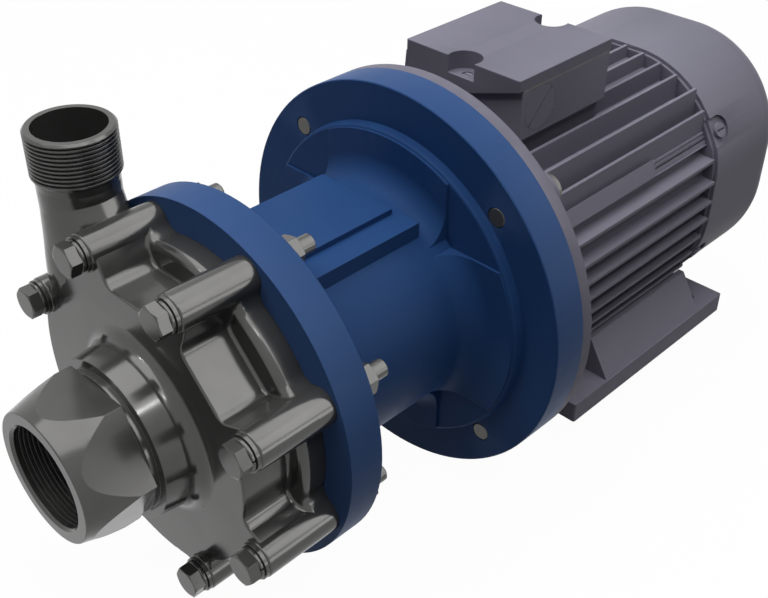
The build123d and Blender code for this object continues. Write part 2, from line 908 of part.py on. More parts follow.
def shaft_stack():
    """Shaft sleeves with their spacer, and the thrust discs"""
    bore = pump_shaft_r + slip_gap
    front_sleeve_end = front_bush_start + bush_length + 1
    rear_sleeve_start = rear_bush_start - 1
    sleeves = [
        tube(sleeve_r, bore, front_disc_face, front_sleeve_end),
        tube(spacer_r, bore, front_sleeve_end, rear_sleeve_start),
        tube(sleeve_r, bore, rear_sleeve_start, rear_disc_face),
    ]
    discs = [
        tube(thrust_disc_r, bore, impeller_rear - thrust_disc_recess, front_disc_face),
        tube(thrust_disc_r, bore, rear_disc_face, hub_face),
    ]
    return sleeves, discs


def impeller():
    """The closed impeller, turning from +Z towards +X"""
    front_inner = impeller_front + impeller_shroud
    back_inner = impeller_rear - impeller_shroud
    neck_front = impeller_front - impeller_neck_length
    front = turned(
        (neck_front, eye_r),
        (neck_front, impeller_neck_r),
        (impeller_front, impeller_neck_r),
        (impeller_front, impeller_r),
        (front_inner, impeller_r),
        (front_inner, impeller_neck_r + 2),
        (front_inner - 3, eye_r),
    )
    back = turned(
        (impeller_front, 0),
        (impeller_front, impeller_nut_r),
        (back_inner, impeller_hub_r),
        (back_inner, impeller_r),
        (impeller_rear, impeller_r),
        (impeller_rear, 0),
    )
    outer_r = blade_arc_r + blade_thickness / 2
    arc = Pos(blade_arc_x, 0) * (Circle(outer_r) - Circle(outer_r - blade_thickness))
    ring = Circle(impeller_r - 0.3) - Circle(impeller_hub_r - 3)
    upper = Pos(0, impeller_r) * Rectangle(4 * impeller_r, 2 * impeller_r)
    blade = along_y(arc & ring & upper, front_inner - 0.5, back_inner + 0.5)
    wheel = front + back + around(blade, blade_count)
    wheel -= along_y(Circle(pump_shaft_r), impeller_front, impeller_rear)
    wheel -= along_y(Circle(thrust_disc_r + slip_gap), impeller_rear - thrust_disc_recess, impeller_rear)
    return wheel - pump_keys()[0]


def impeller_nut():
    """The domed nut in the eye of the impeller"""
    front = impeller_front - impeller_nut_length
    dome = turned(
        (front, 0),
        (front, impeller_nut_r * 0.35),
        (front + 3, impeller_nut_r * 0.72),
        (front + 7, impeller_nut_r),
        (impeller_front, impeller_nut_r),
        (impeller_front, 0),
    )
    dome = dome & hexagon_bar(2 * impeller_nut_r * 0.93, front, impeller_front)
    return dome - along_y(Circle(impeller_thread_r), front + 2, impeller_front)


def inner_rotor():
    """The carrier of the inner magnets"""
    magnet_end = magnet_rear + magnet_end_wall
    body = turned(
        (magnet_front - magnet_end_wall, inner_rotor_bore_r),
        (magnet_front - magnet_end_wall, inner_magnet_r),
        (magnet_front, inner_magnet_r),
        (magnet_front, inner_magnet_seat_r),
        (magnet_rear, inner_magnet_seat_r),
        (magnet_rear, inner_magnet_r),
        (magnet_end, inner_magnet_r),
        (magnet_end, pump_shaft_r),
        (hub_face, pump_shaft_r),
        (hub_face, inner_rotor_bore_r),
    )
    return body - pump_keys()[1]


def magnet_ring(inner, outer):
    """Magnet blocks round a rotor with a narrow gap between them"""
    section = Circle(outer) - Circle(inner)
    half = radians(180 / magnet_count)
    reach = 2 * outer
    wedge = outline((0, 0), (reach * cos(half), -reach * sin(half)), (reach * cos(half), reach * sin(half)))
    wedge = Pos(0.4, 0) * wedge
    return around(along_y(section & wedge, magnet_front, magnet_rear), magnet_count)


def outer_rotor():
    """The bell that carries the outer magnets on the motor shaft"""
    ring_front = magnet_front - magnet_end_wall
    hub_end = -outer_hub_end_gap
    bell = turned(
        (ring_front, outer_magnet_seat_r),
        (ring_front, outer_rotor_r),
        (-shaft_extension, outer_rotor_r),
        (-shaft_extension, outer_hub_r + 3),
        (-shaft_extension + 3, outer_hub_r),
        (hub_end, outer_hub_r),
        (hub_end, shaft_extension_r),
        (-shaft_extension, shaft_extension_r),
        (-shaft_extension, hub_screw_r + bolt_hole_gap),
        (outer_web_front, hub_screw_r + bolt_hole_gap),
        (outer_web_front, outer_magnet_seat_r),
    )
    top = shaft_extension_r - shaft_key_depth + shaft_key_height
    slot = Pos(0, top / 2) * Rectangle(shaft_key_width, top)
    return bell - along_y(slot, -shaft_extension, hub_end)


def hub_fasteners():
    """The screw and washer in the end of the motor shaft"""
    seat = outer_web_front - hub_washer_thickness
    washer = tube(hub_washer_r, hub_screw_r + 0.3, seat, outer_web_front)
    head = along_y(Circle(hub_screw_head_r), seat - hub_screw_head, seat)
    head = chamfer(circle_edges(head, seat - hub_screw_head, hub_screw_head_r), 1)
    socket = hexagon_bar(5, seat - hub_screw_head, seat - 1.5)
    shank = along_y(Circle(hub_screw_r), seat, seat + hub_screw_length)
    return head + shank - socket, washer


def motor_shaft():
    """The motor shaft with its keyway, centre thread and circlip groove"""
    front_seat = front_bearing_y
    front_shoulder = front_bearing_y + ring_width
    rear_seat_end = rear_bearing_y + ring_width + spring_height
    clip_y = fan_front + fan_blade_height
    shaft = turned(
        (-shaft_extension, 0),
        (-shaft_extension, shaft_extension_r - 1),
        (-shaft_extension + 1, shaft_extension_r),
        (front_seat, shaft_extension_r),
        (front_seat, bearing_seat_r),
        (front_shoulder, bearing_seat_r),
        (front_shoulder, rotor_seat_r),
        (rear_bearing_y, rotor_seat_r),
        (rear_bearing_y, bearing_seat_r),
        (rear_seat_end, bearing_seat_r),
        (rear_seat_end, fan_seat_r),
        (clip_y, fan_seat_r),
        (clip_y, fan_seat_r - circlip_depth),
        (clip_y + circlip_thickness, fan_seat_r - circlip_depth),
        (clip_y + circlip_thickness, fan_seat_r),
        (shaft_rear_end, fan_seat_r),
        (shaft_rear_end, 0),
    )
    tapped_end = outer_web_front - hub_washer_thickness + hub_screw_length
    shaft -= along_y(Circle(hub_screw_r), -shaft_extension, tapped_end)
    return shaft - shaft_key()


def shaft_key():
    """The key between the motor shaft and the outer rotor"""
    middle = shaft_extension_r - shaft_key_depth + shaft_key_height / 2
    section = Pos(0, middle) * Rectangle(shaft_key_width, shaft_key_height)
    start = -shaft_extension + 3
    return along_y(section, start, start + shaft_key_length)


def ball_bearings():
    """Outer rings, inner rings, balls and cages of both ball bearings"""
    outers, inners, balls, cages = [], [], [], []
    outer_land_r = ball_pitch_r + ring_land
    inner_land_r = ball_pitch_r - ring_land
    cage_r = ball_r * 0.35
    for start in (front_bearing_y, rear_bearing_y):
        middle = start + ring_width / 2
        race = Pos(0, middle, 0) * Rot(90, 0, 0) * Torus(ball_pitch_r, ball_r + slip_gap)
        outers.append(tube(ring_outer_r, outer_land_r, start, start + ring_width) - race)
        inners.append(tube(inner_land_r, bearing_seat_r, start, start + ring_width) - race)
        ball = Pos(ball_pitch_r, middle, 0) * Sphere(ball_r)
        set_of_balls = around(ball, ball_count)
        room = along_x(Pos(middle, 0) * Circle(ball_r + slip_gap), ball_pitch_r - ball_r, ball_pitch_r + ball_r)
        ring = tube(ball_pitch_r + cage_r, ball_pitch_r - cage_r, middle - ball_r - 1, middle + ball_r + 1)
        balls += set_of_balls
        cages.append(ring - around(room, ball_count))
    return outers, inners, balls, cages


def shaft_seals():
    """Rubber rings that turn with the shaft outside each bearing"""
    rear_face = rear_bearing_y + ring_width + spring_height + bearing_floor
    front = turned(
        (-seal_lip, seal_r),
        (-seal_lip - 1, seal_r),
        (-seal_lip - 3, shaft_extension_r + 3),
        (-seal_length, shaft_extension_r + 3),
        (-seal_length, shaft_extension_r),
        (-seal_lip, shaft_extension_r),
    )
    rear = turned(
        (rear_face + seal_lip, seal_r),
        (rear_face + seal_lip + 1, seal_r),
        (rear_face + seal_lip + 3, fan_seat_r + 3),
        (rear_face + seal_length, fan_seat_r + 3),
        (rear_face + seal_length, fan_seat_r),
        (rear_face + seal_lip, fan_seat_r),
    )
    return [front, rear]


def tie_bolt_holes(start, end, radius):
    """The four long holes or bolts beside the housing bore"""
    hole = along_y(Pos(tie_bolt_ring_r, 0) * Circle(radius), start, end)
    return [at_angle(hole, a) for a in tie_bolt_places]


def motor_flange_shield():
    """The front end shield with its mounting flange and bearing seat"""
    register_end = housing_front + register_length
    hub_end = front_bearing_y + ring_width + 2
    shield = turned(
        (0, shaft_extension_r + 0.6),
        (0, spigot_r - spigot_width),
        (-spigot_height, spigot_r - spigot_width),
        (-spigot_height, spigot_r - slip_gap),
        (0, spigot_r - slip_gap),
        (0, motor_flange_r),
        (motor_flange_thickness, motor_flange_r),
        (motor_flange_thickness, housing_r + 9),
        (housing_front, housing_r + 7),
        (housing_front, housing_bore_r - slip_gap),
        (register_end, housing_bore_r - slip_gap),
        (register_end, housing_bore_r - register_width),
        (motor_flange_thickness + 1, housing_bore_r - register_width - 3),
        (motor_flange_thickness + 1, bearing_hub_r),
        (hub_end, bearing_hub_r),
        (hub_end, ring_outer_r),
        (front_bearing_y, ring_outer_r),
        (front_bearing_y, shaft_extension_r + 5),
        (front_bearing_y - 3, shaft_extension_r + 0.6),
    )
    shield = fillet(circle_edges(shield, motor_flange_thickness, motor_flange_r), 1.5)
    lug_plan = (Pos(flange_pcd / 2, 0) * Circle(motor_flange_lug_r)) + outline(
        (housing_r, -motor_flange_lug_r),
        (flange_pcd / 2, -motor_flange_lug_r),
        (flange_pcd / 2, motor_flange_lug_r),
        (housing_r, motor_flange_lug_r),
    )
    lug_end = motor_flange_thickness + motor_flange_lug
    lug = along_y(lug_plan & Circle(motor_flange_r - 1), motor_flange_thickness / 2, lug_end)
    shield += around(lug, 4, 45)
    hole = along_y(Pos(flange_pcd / 2, 0) * Circle(flange_bolt_r + bolt_hole_gap), 0, lug_end)
    shield -= around(hole, 4, 45)
    shield -= tie_bolt_holes(-spigot_height, tie_head_depth, tie_head_r + bolt_hole_gap)
    return shield - tie_bolt_holes(tie_head_depth, housing_front, tie_bolt_r + bolt_hole_gap)


def fin_section(root, tip):
    """A tapered fin section in X and Z from inside the barrel to its tip"""
    length = hypot(tip[0] - root[0], tip[1] - root[1])
    across = (-(tip[1] - root[1]) / length, (tip[0] - root[0]) / length)
    corners = []
    for point, width, side in ((root, fin_root, -1), (tip, fin_tip, -1), (tip, fin_tip, 1), (root, fin_root, 1)):
        corners.append((point[0] + across[0] * side * width / 2, point[1] + across[1] * side * width / 2))
    return outline(*corners)


def housing_fins():
    """The fins of one half of the motor housing, as one section"""
    inside = housing_r - 2
    fins = []
    for x, tip in top_fins:
        fins.append(fin_section((x, sqrt(inside**2 - x**2)), (x, tip)))
    for x, tip in bottom_fins:
        fins.append(fin_section((x, -sqrt(inside**2 - x**2)), (x, -tip)))
    for z, tip in side_fins:
        fins.append(fin_section((sqrt(inside**2 - z**2), z), (tip, z)))
    return fins


def motor_housing():
    """The finned housing with its bosses and the terminal box pedestal"""
    inside = housing_r - 3
    upper = degrees(atan2(boss_upper[1], boss_upper[0]))
    lower = degrees(atan2(boss_lower[1], boss_lower[0]))
    boss = outline(
        boss_upper,
        boss_lower,
        (inside * cos(radians(lower - 3)), inside * sin(radians(lower - 3))),
        (inside * cos(radians(upper + 3)), inside * sin(radians(upper + 3))),
        boss_slot,
    )
    boss_length = hypot(boss_lower[0] - boss_upper[0], boss_upper[1] - boss_lower[1])
    step_x = boss_step * (boss_upper[1] - boss_lower[1]) / boss_length
    step_z = boss_step * (boss_lower[0] - boss_upper[0]) / boss_length
    boss_cut = outline(
        (boss_upper[0] - step_x, boss_upper[1] - step_z),
        (boss_lower[0] - step_x, boss_lower[1] - step_z),
        (boss_lower[0] + step_x, boss_lower[1] - step_z),
        (boss_lower[0] + step_x, boss_upper[1]),
        (boss_upper[0] - step_x, boss_upper[1]),
    )
    low_angle = radians(tie_bolt_lower_angle)
    rib_at = (tie_bolt_ring_r * cos(low_angle), tie_bolt_ring_r * sin(low_angle))
    rib = Pos(*rib_at) * Circle(tie_rib_r)
    half = [boss, rib] + housing_fins()
    section = Circle(housing_r) + half + [mirror(piece, Plane.YZ) for piece in half]
    body = along_y(section, housing_front, housing_rear)
    low_rear = along_y(boss_cut, boss_step_y, housing_rear)
    body -= [low_rear, mirror(low_rear, Plane.YZ)]
    seat_z = foot_seat_height - shaft_height
    seat_in, seat_out = rib_at[0] - 7, foot_screw_x + foot_seat_margin
    seat_size = (seat_out - seat_in, foot_seat_top - seat_z)
    seat_plan = Pos((seat_in + seat_out) / 2, (seat_z + foot_seat_top) / 2) * Rectangle(*seat_size)
    seat = along_y(seat_plan, foot_web_front + foot_seat_end, foot_web_rear - foot_seat_end)
    body += seat + mirror(seat, Plane.YZ)
    room = Pos(0, lid_middle) * Rectangle(2 * box_half_x + 2, box_rear - box_front + 2)
    body -= along_z(room, pedestal_z, pedestal_z + 20)
    pedestal = Pos(0, box_middle) * Rectangle(2 * pedestal_half_x, box_wall_rear - box_wall_front)
    body += along_z(pedestal, housing_r * 0.8, pedestal_z)
    body -= along_y(Circle(housing_bore_r), housing_front, housing_rear)
    wire_hole = Pos(0, box_middle) * Circle(wire_hole_r)
    body -= along_z(wire_hole, housing_bore_r - 5, pedestal_z)
    head_plan = Pos(flange_pcd / 2, 0) * Circle(flange_washer_r + flange_head_room)
    head_room = along_y(head_plan, housing_front, housing_front + flange_head_depth)
    body -= around(head_room, 4, 45)
    body -= tie_bolt_holes(housing_front, housing_rear, tie_bolt_r + bolt_hole_gap)
    body -= box_screw_holes()
    return body - foot_screw_holes()


def box_screw_places():
    """Where four small screws hold the terminal box down"""
    half_x, half_y = box_screw_spacing_x / 2, box_screw_spacing_y / 2
    return [(x, box_middle + y) for x in (-half_x, half_x) for y in (-half_y, half_y)]


def box_screw_holes():
    """Tapped holes in the pedestal"""
    depth = box_screw_length - box_wall
    hole = along_z(Circle(box_screw_r), box_floor_z - depth, box_floor_z)
    return [Pos(x, y, 0) * hole for x, y in box_screw_places()]


def foot_screw_places():
    """Where two screws hold each foot"""
    middle = (foot_web_front + foot_web_rear) / 2
    spots = (middle - foot_screw_spacing / 2, middle + foot_screw_spacing / 2)
    return [(x, y) for x in (-foot_screw_x, foot_screw_x) for y in spots]


def foot_screws():
    """Screws that come up through the feet into the housing"""
    seat = foot_screw_head_height + 2 - shaft_height
    screws = []
    for x, y in foot_screw_places():
        head = along_z(Circle(foot_screw_head_r), seat - foot_screw_head_height, seat)
        head -= along_z(RegularPolygon(3, 6), seat - foot_screw_head_height, seat - foot_screw_head_height / 2)
        screws.append(Pos(x, y, 0) * (head + along_z(Circle(foot_screw_r), seat, seat + foot_screw_length)))
    return screws


def foot_screw_holes():
    """Tapped holes for the foot screws"""
    seat = foot_screw_head_height + 2 - shaft_height
    hole = along_z(Circle(foot_screw_r), seat, seat + foot_screw_length + 1)
    return [Pos(x, y, 0) * hole for x, y in foot_screw_places()]


def motor_feet():
    """Two bolted feet, each a pad with a sloping web"""
    ground = -shaft_height
    pad_top = ground + foot_pad_thickness
    seat = ground + foot_seat_height
    web_top = ground + foot_web_top
    pad_middle = Pos((foot_inner_x + foot_outer_x) / 2, ground + foot_pad_thickness / 2)
    pad_plan = pad_middle * Rectangle(foot_outer_x - foot_inner_x, foot_pad_thickness)
    pad = along_y(pad_plan, foot_front_hole - foot_front_margin, foot_rear_hole + foot_rear_margin)
    pad = fillet(pad.edges().filter_by(Axis.Z).group_by(Axis.X)[-1], foot_corner)
    web_plan = outline(
        (foot_inner_x, ground),
        (foot_outer_x - foot_web_inset, ground),
        (foot_outer_x - foot_web_inset, pad_top),
        (foot_web_top_x, web_top),
        (foot_web_top_x - foot_web_width, web_top),
        (foot_screw_x + foot_seat_margin + bolt_hole_gap, seat),
        (foot_inner_x, seat),
    )
    foot = pad + along_y(web_plan, foot_web_front, foot_web_rear)
    for y in (foot_front_hole, foot_rear_hole):
        foot -= Pos(foot_hole_spacing_x / 2, y, 0) * along_z(Circle(foot_hole_r), ground, pad_top)
    screw_seat = foot_screw_head_height + 2 + ground
    for x, y in foot_screw_places():
        foot -= Pos(abs(x), y, 0) * along_z(Circle(foot_screw_head_r + 0.5), ground, screw_seat)
        foot -= Pos(abs(x), y, 0) * along_z(Circle(foot_screw_r + bolt_hole_gap), ground, seat)
    return [foot, mirror(foot, Plane.YZ)]


def stator_core():
    """The stator's lamination stack with its slots"""
    slot_middle = stator_inner_r + 3 + slot_depth / 2
    slot = Pos(slot_middle, 0) * Rectangle(slot_depth, slot_width)
    mouth = Pos(stator_inner_r + 1.5, 0) * Rectangle(5, 2)
    places = [Rot(0, 0, 360 / slot_count * i) for i in range(slot_count)]
    plan = Circle(housing_bore_r) - Circle(stator_inner_r) - [p * (slot + mouth) for p in places]
    return along_y(plan, core_front, core_rear)


def stator_windings():
    """Coil sides in the slots, joined to a coil ring at each end"""
    slot_middle = stator_inner_r + 3 + slot_depth / 2
    side = Pos(slot_middle, 0) * Rectangle(slot_depth - 0.6, slot_width - 0.6)
    places = [Rot(0, 0, 360 / slot_count * i) for i in range(slot_count)]
    sides = along_y(Sketch() + [p * side for p in places], core_front - 2, core_rear + 2)
    rings = []
    for start in (core_front - 2 - coil_height, core_rear + 2):
        ring = tube(coil_outer_r, coil_inner_r, start, start + coil_height)
        rings.append(fillet(ring.edges().filter_by(GeomType.CIRCLE), 4))
    return sides + rings


def rotor_core():
    """The rotor's lamination stack"""
    return tube(rotor_r, rotor_seat_r, core_front, core_rear)


def rotor_end_rings():
    """Cast end rings with short cooling vanes"""
    rings = []
    vane = Pos((rotor_r + end_ring_inner_r) / 2, 0) * Rectangle(rotor_r - end_ring_inner_r - 4, 3)
    for start, end, vane_end in (
        (core_front, core_front - end_ring_height, core_front - end_ring_height - 8),
        (core_rear, core_rear + end_ring_height, core_rear + end_ring_height + 8),
    ):
        ring = tube(rotor_r - 1, end_ring_inner_r, min(start, end), max(start, end))
        vanes = along_y(vane, min(end, vane_end), max(end, vane_end))
        rings.append(ring + around(vanes, rotor_vane_count))
    return rings


def rear_shield():
    """The rear end shield with its bearing seat and cover lugs"""
    plate_end = housing_rear + shield_plate
    seat_end = rear_bearing_y + ring_width + spring_height
    half = cover_half_width - cover_wall - cover_gap
    plan = RectangleRounded(2 * half, 2 * half, cover_corner_r - cover_wall - cover_gap)
    shield = along_y(plan, housing_rear, plate_end)
    register_r = housing_bore_r - slip_gap
    shield += tube(register_r, housing_bore_r - register_width, housing_rear - register_length, plate_end)
    shield += along_y(Circle(bearing_hub_r), rear_bearing_y - 2, plate_end)
    shield -= along_y(Circle(ring_outer_r), rear_bearing_y - 2, seat_end)
    shield -= along_y(Circle(fan_seat_r + 0.6), seat_end, plate_end)
    lug_top = notch_floor_r - cover_wall
    lug_length = notch_length - shield_plate
    lug = along_x(
        Pos(plate_end + lug_length / 2 - 1, 0) * Rectangle(lug_length + 2, notch_width - 6), lug_top - 18, lug_top
    )
    hole_y = cover_front + notch_length - notch_width / 2
    hole = along_x(Pos(hole_y, 0) * Circle(cover_screw_r), lug_top - 18, lug_top)
    room_plan = notch_plan(notch_width + 2 * cover_wall + 1, notch_length + cover_wall)
    pocket_room = along_x(room_plan, lug_top, 110)
    for angle in notch_places:
        shield -= at_angle(pocket_room, angle)
    shield += tie_bolt_holes(plate_end - 1, plate_end + tie_boss_height, tie_boss_r)
    for angle in notch_places:
        shield += at_angle(lug, angle)
        shield -= at_angle(hole, angle)
    return shield - tie_bolt_holes(housing_rear, plate_end + tie_bolt_stand, tie_bolt_r)


def tie_bolts():
    """Four long socket screws that clamp the housing between the shields"""
    head = along_y(Circle(tie_head_r), tie_head_depth - tie_head_height, tie_head_depth)
    head -= hexagon_bar(5, tie_head_depth - tie_head_height, tie_head_depth - tie_head_height / 2)
    shank = along_y(Circle(tie_bolt_r), tie_head_depth, housing_rear + shield_plate + tie_bolt_stand)
    bolt = Pos(tie_bolt_ring_r, 0, 0) * (head + shank)
    return [at_angle(bolt, a) for a in tie_bolt_places]


def cover_shell(inset, front, rear):
    """The fan cover's outside, or its inside when inset by the wall"""
    half = cover_half_width - inset
    shell = along_y(RectangleRounded(2 * half, 2 * half, cover_corner_r - inset), front, rear)
    return fillet(edges_at(shell, rear), cover_round - inset)


def notch_plan(width, length):
    """A U shape open to the cover's front edge"""
    straight = length - width / 2
    slot = Pos(cover_front + straight / 2, 0) * Rectangle(straight, width)
    return slot + Pos(cover_front + straight, 0) * Circle(width / 2)


def fan_cover():
    """The fan cover with its screw pockets and ring grille"""
    shell = cover_shell(0, cover_front, cover_rear)
    hollow = cover_shell(cover_wall, cover_front, cover_rear - cover_wall)
    cover = shell - hollow
    block = along_x(
        notch_plan(notch_width + 2 * cover_wall, notch_length + cover_wall), notch_floor_r - cover_wall, 110
    )
    notch = along_x(notch_plan(notch_width, notch_length), notch_floor_r, 110)
    hole_y = cover_front + notch_length - notch_width / 2
    hole = along_x(Pos(hole_y, 0) * Circle(cover_screw_r + 0.3), notch_floor_r - 5, 110)
    for angle in notch_places:
        cover += at_angle(block, angle) & shell
        cover -= at_angle(notch, angle)
        cover -= at_angle(hole, angle)
    rings = Sketch()
    for i in range(grille_rings):
        inner = grille_centre_r + grille_pitch * i
        rings += Circle(inner + grille_slot) - Circle(inner)
    ribs = [Rot(0, 0, 60 * i) * Rectangle(3 * cover_half_width, grille_rib) for i in range(3)]
    return cover - along_y(rings - ribs, cover_rear - cover_wall - 1, cover_rear)


def fan_cover_screws():
    """Screws in the cover's four pockets"""
    y = cover_front + notch_length - notch_width / 2
    head = along_x(Pos(y, 0) * Circle(cover_screw_head_r), notch_floor_r, notch_floor_r + cover_screw_head)
    slot = along_x(Pos(y, 0) * Rectangle(8, 1.2), notch_floor_r + 1.2, notch_floor_r + cover_screw_head)
    shank = along_x(Pos(y, 0) * Circle(cover_screw_r), notch_floor_r - cover_screw_length, notch_floor_r)
    return [at_angle(head - slot + shank, angle) for angle in notch_places]


def fan():
    """The cooling fan"""
    end = fan_front + fan_blade_height
    hub = tube(fan_hub_r, fan_seat_r, fan_front, end)
    disc = tube(fan_r * 0.8, fan_hub_r - 2, fan_front, fan_front + fan_disc)
    plan = Pos((fan_r + fan_hub_r) / 2 - 1, 0) * Rectangle(fan_r - fan_hub_r + 2, fan_blade_thickness)
    return hub + disc + around(along_y(plan, fan_front, end), fan_blade_count)


def fan_circlip():
    """The spring ring behind the fan"""
    start = fan_front + fan_blade_height
    ring = tube(circlip_r, fan_seat_r - circlip_depth, start, start + circlip_thickness)
    gap = Pos(0, -fan_seat_r) * Rectangle(6, fan_seat_r)
    return ring - along_y(gap, start, start + circlip_thickness)


def wave_spring():
    """The spring that loads the rear bearing"""
    seat = rear_bearing_y + ring_width
    return tube(ring_outer_r - 0.5, ring_outer_r - 4, seat, seat + spring_height)


def box_plan(inset):
    """The plan of the terminal box, drawn in from its outline"""
    width = 2 * box_half_x - 2 * inset
    depth = box_wall_rear - box_wall_front - 2 * inset
    return Pos(0, box_middle) * RectangleRounded(width, depth, box_corner)


def lid_screw_places():
    """The two lid screws, in the middle of the front and rear edges"""
    return [box_front + lid_screw_inset, box_rear - lid_screw_inset]


def recess_places():
    """The middle of each round recess in the lid"""
    return [box_front + recess_reach, box_rear - recess_reach]


def terminal_box():
    """The open box under the lid"""
    box = along_z(box_plan(0), box_floor_z, box_top_z)
    box -= along_z(box_plan(box_wall), box_floor_z + box_wall, box_top_z)
    well_floor = recess_floor_z - recess_wall
    boss_top = lid_screw_seat - recess_wall
    boss_r = lid_screw_head_r + 2 * recess_wall
    inside = along_z(box_plan(0), box_floor_z, box_top_z)
    for y in lid_screw_places():
        box += (Pos(0, y, 0) * along_z(Circle(boss_r), boss_top - lid_screw_length, boss_top)) & inside
    for y in recess_places():
        box -= Pos(0, y, 0) * along_z(Circle(recess_r + recess_wall + cover_gap), well_floor, box_top_z)
    for y in lid_screw_places():
        boss_room = along_z(Circle(lid_screw_head_r + recess_wall + cover_gap), boss_top, well_floor)
        box -= Pos(0, y, 0) * boss_room
        box -= Pos(0, y, 0) * along_z(Circle(lid_screw_r), lid_screw_seat - lid_screw_length, boss_top)
    wire_hole = Pos(0, box_middle) * Circle(wire_hole_r)
    box -= along_z(wire_hole, box_floor_z, box_floor_z + box_wall)
    for x, y in box_screw_places():
        box -= Pos(x, y, 0) * along_z(Circle(box_screw_r + cover_gap), box_floor_z, box_floor_z + box_wall)
    for side in (-1, 1):
        seat = Pos(plug_y, plug_z) * Circle(plug_r + 0.2)
        bore = Pos(plug_y, plug_z) * Circle(plug_thread_r)
        box -= along_x(seat, side * box_half_x, side * (box_half_x - plug_head))
        box -= along_x(bore, side * box_half_x, side * (box_half_x - plug_length))
    return box


def box_gasket():
    """The flat gasket under the terminal box"""
    plan = Rectangle(2 * pedestal_half_x, box_wall_rear - box_wall_front) - Circle(wire_hole_r)
    gasket = Pos(0, box_middle, 0) * along_z(plan, pedestal_z, box_floor_z)
    hole = along_z(Circle(box_screw_r + cover_gap), pedestal_z, box_floor_z)
    return gasket - [Pos(x, y, 0) * hole for x, y in box_screw_places()]


def lid_gasket():
    """The rubber frame under the lid"""
    gasket = along_z(box_plan(0) - box_plan(box_wall), box_top_z, lid_underside_z)
    room = along_z(Circle(recess_r + recess_wall + cover_gap), box_top_z, lid_underside_z)
    for y in recess_places():
        gasket -= Pos(0, y, 0) * room
    return gasket


def terminal_lid():
    """The lid with its two screw recesses and its pointed apron"""
    top = lid_underside_z + lid_thickness
    plan = Pos(0, lid_middle) * RectangleRounded(2 * box_half_x, box_rear - box_front, box_corner)
    lid = along_z(plan, lid_underside_z, top)
    lid = fillet(lid.edges().group_by(Axis.Z)[-1], lid_edge)
    inner = Rectangle(2 * box_half_x - 2 * box_wall, box_wall_rear - box_wall_front - 2 * box_wall)
    lid -= Pos(0, box_middle, 0) * along_z(inner, lid_underside_z, top - lid_wall)
    apron_plan = outline(
        (-box_half_x, lid_underside_z),
        (-box_half_x - apron_flare, lid_underside_z - apron_drop),
        (apron_half_width, lid_underside_z - apron_drop),
        (box_half_x, lid_underside_z),
    )
    lid += along_y(apron_plan, box_front, box_wall_front - cover_gap)
    inside = along_z(plan, box_floor_z, top)
    well_floor = recess_floor_z - recess_wall
    boss_bottom = lid_screw_seat - recess_wall
    for y in recess_places():
        lid += (Pos(0, y, 0) * along_z(Circle(recess_r + recess_wall), well_floor, top - 1)) & inside
        lid -= Pos(0, y, 0) * along_z(Circle(recess_r), recess_floor_z, top)
    for y in lid_screw_places():
        boss = along_z(Circle(lid_screw_head_r + recess_wall), boss_bottom, well_floor)
        lid += (Pos(0, y, 0) * boss) & inside
        lid -= Pos(0, y, 0) * along_z(Circle(lid_screw_head_r + washer_gap), lid_screw_seat, recess_floor_z)
        lid -= Pos(0, y, 0) * along_z(Circle(lid_screw_r + washer_gap), boss_bottom, lid_screw_seat)
    return lid


def lid_screws():
    """Two slotted screws sunk in the lid's recesses"""
    screws = []
    head_top = lid_screw_seat + lid_screw_head
    for y in lid_screw_places():
        head = along_z(Circle(lid_screw_head_r), lid_screw_seat, head_top)
        head -= along_z(Rectangle(3 * lid_screw_head_r, lid_screw_slot), head_top - lid_screw_slot, head_top)
        shank = along_z(Circle(lid_screw_r), lid_screw_seat - lid_screw_length, lid_screw_seat)
        screws.append(Pos(0, y, 0) * (head + shank))
    return screws


def box_screws():
    """Four small screws on the floor of the terminal box"""
    top = box_floor_z + box_wall
    screws = []
    for x, y in box_screw_places():
        head = along_z(Circle(box_screw_head_r), top, top + box_screw_head)
        shank = along_z(Circle(box_screw_r), top - box_screw_length, top)
        screws.append(Pos(x, y, 0) * (head + shank))
    return screws


def blind_plugs():
    """A flush slotted plug in each side of the terminal box"""
    plugs = []
    for side in (-1, 1):
        face = side * box_half_x
        head = along_x(Pos(plug_y, plug_z) * Circle(plug_r), face - side * plug_head, face)
        thread = along_x(Pos(plug_y, plug_z) * Circle(plug_thread_r - slip_gap), face - side * plug_length, face)
        slot = Pos(plug_y, plug_z) * Rot(0, 0, plug_slot_angle) * Rectangle(3 * plug_r, plug_slot_width)
        plugs.append(head + thread - along_x(slot, face - side * plug_slot_depth, face))
    return plugs


def terminal_board():
    """The board with six studs, on two feet"""
    bottom = box_floor_z + box_wall
    top = bottom + board_stand + board_thickness
    board = along_z(Rectangle(2 * board_half_x, 2 * board_half_y), bottom + board_stand, top)
    for side in (-1, 1):
        foot = Pos(0, side * (board_half_y - 3)) * Rectangle(2 * board_half_x - 8, 6)
        board += along_z(foot, bottom, bottom + board_stand)
    for x in (-stud_spacing_x / 2, stud_spacing_x / 2):
        for y in (-stud_spacing_y, 0, stud_spacing_y):
            board += Pos(x, y, 0) * along_z(Circle(stud_r), top, top + stud_height)
            board += Pos(x, y, 0) * along_z(RegularPolygon(4, 6), top, top + 3)
    return Pos(0, box_middle, 0) * board


os.makedirs("parts", exist_ok=True)

